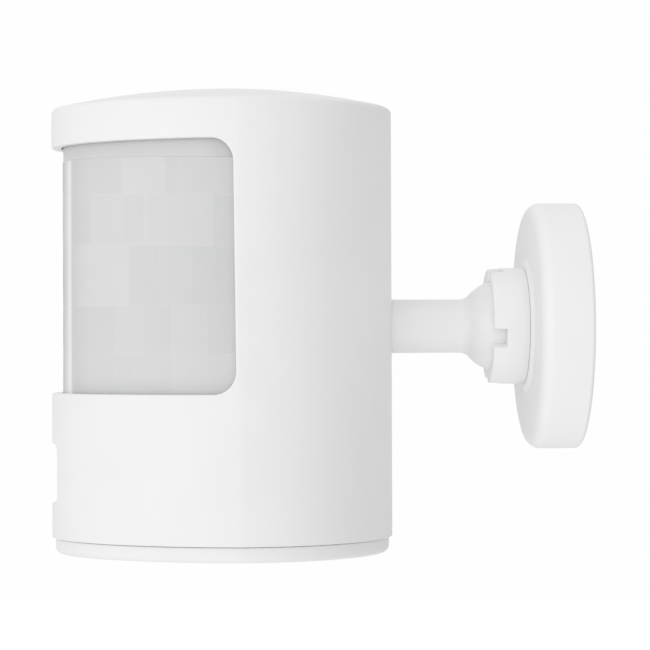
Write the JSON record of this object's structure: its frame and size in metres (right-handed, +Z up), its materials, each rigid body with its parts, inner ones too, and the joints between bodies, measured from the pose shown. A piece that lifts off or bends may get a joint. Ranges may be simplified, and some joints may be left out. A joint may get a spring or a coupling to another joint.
{
  "type": "wall motion sensor",
  "caption": "Wall motion sensor: a tall rounded white head with a wrap-round milky lens and a test button, on a stem, a ball joint and a round wall bracket.",
  "frame": {"origin": "middle of the bracket's back face, on the wall plane and on the axis of the collar, the ball and the stem", "axes": "+Z up, +Y into the wall, the lens looks along -Y, +X to the sensor's left as seen by someone facing it"},
  "size_m": [0.069, 0.1092, 0.0951],
  "materials": {
    "shell_white": "fine satin moulded",
    "base_white": "fine satin moulded",
    "button_white": "fine satin moulded",
    "lens_milk": "milky translucent with shallow lens facets",
    "bracket_white": "fine satin moulded",
    "plate_white": "plain moulded",
    "collar_white": "fine satin moulded",
    "stem_white": "smooth satin",
    "liner_nylon": "natural nylon",
    "frame_grey": "matt grey moulded",
    "chassis_grey": "matt grey moulded",
    "tray_grey": "matt grey moulded",
    "board_green": "solder-mask green board",
    "button_board_green": "solder-mask green board",
    "chip_black": "matt black moulded",
    "can_nickel": "nickel plated",
    "filter_dark": "dark glossy filter",
    "stand_black": "matt black moulded",
    "shield_tin": "tin plated",
    "coil_gold": "lacquered wire",
    "cap_black": "dark sleeve",
    "led_red": "clear red",
    "switch_black": "matt black moulded",
    "plunger_black": "matt black moulded",
    "tamper_black": "matt black moulded",
    "tamper_white": "plain moulded",
    "ribbon_grey": "flat cable",
    "cell_left_skin": "plain wrapped can",
    "cell_right_skin": "plain wrapped can",
    "contact_nickel": "nickel plated",
    "spring_nickel": "nickel plated",
    "cap_strip_nickel": "nickel plated",
    "cap_spring_nickel": "nickel plated",
    "screw_zinc": "zinc plated",
    "washer_steel": "zinc plated",
    "nut_steel": "zinc plated"
  },
  "bodies": {
    "wall_mount": {"base_plate": "plate_white", "cover_disc": "bracket_white"},
    "collar": {"collar_nut": "collar_white"},
    "ball_liner": {"socket_liner": "liner_nylon"},
    "arm": {"ball_stem": "stem_white", "stem_washer": "washer_steel", "stem_nut": "nut_steel"},
    "sensor_head": {"housing_shell": "shell_white", "fresnel_lens": "lens_milk", "lens_frame": "frame_grey", "chassis": "chassis_grey", "chassis_screw_right": "screw_zinc", "chassis_screw_left": "screw_zinc", "main_pcb": "board_green", "pcb_screw_upper": "screw_zinc", "pcb_screw_lower": "screw_zinc", "pir_stand": "stand_black", "pir_can": "can_nickel", "pir_filter": "filter_dark", "mcu_chip": "chip_black", "rf_shield": "shield_tin", "capacitor": "cap_black", "status_led": "led_red", "antenna_coil": "coil_gold", "button_board": "button_board_green", "tact_switch": "switch_black", "tamper_switch": "tamper_black", "ribbon_cable": "ribbon_grey", "battery_tray": "tray_grey", "battery_left": "cell_left_skin", "battery_right": "cell_right_skin", "contact_plate_top": "contact_nickel", "contact_spring_top": "spring_nickel"},
    "button": {"test_button": "button_white"},
    "tact": {"tact_plunger": "plunger_black"},
    "tamper": {"tamper_plunger": "tamper_white"},
    "base": {"base_cap": "base_white", "cap_contact": "cap_strip_nickel", "cap_spring": "cap_spring_nickel"}
  },
  "joints": [
    {"name": "collar_turn", "type": "hinge", "parent": "wall_mount", "child": "collar", "pos_m": [0, -0.0117, 0], "axis": [0, 1, 0], "range_deg": [0, 90]},
    {"name": "pan", "type": "hinge", "parent": "wall_mount", "child": "ball_liner", "pos_m": [0, -0.01555, 0], "axis": [0, 0, 1], "range_deg": [-22, 22]},
    {"name": "tilt", "type": "hinge", "parent": "ball_liner", "child": "arm", "pos_m": [0, -0.01555, 0], "axis": [1, 0, 0], "range_deg": [-22, 22]},
    {"name": "roll", "type": "hinge", "parent": "arm", "child": "sensor_head", "pos_m": [0, -0.0402, 0], "axis": [0, 1, 0], "continuous": true},
    {"name": "button_press", "type": "slide", "parent": "sensor_head", "child": "button", "axis": [0, 1, 0], "range_m": [0, 0.0006], "stiffness_N_per_m": 2200},
    {"name": "tact_press", "type": "slide", "parent": "sensor_head", "child": "tact", "axis": [0, 1, 0], "range_m": [0, 0.0006], "stiffness_N_per_m": 5},
    {"name": "tamper_press", "type": "slide", "parent": "sensor_head", "child": "tamper", "axis": [0, 0, 1], "range_m": [0, 0.001], "stiffness_N_per_m": 300},
    {"name": "base_release", "type": "slide", "parent": "sensor_head", "child": "base", "axis": [0, 0, -1], "range_m": [0, 0.025]}
  ],
  "couplings": [
    {"joint": "tact_press", "follows": "button_press", "ratio": 1}
  ]
}
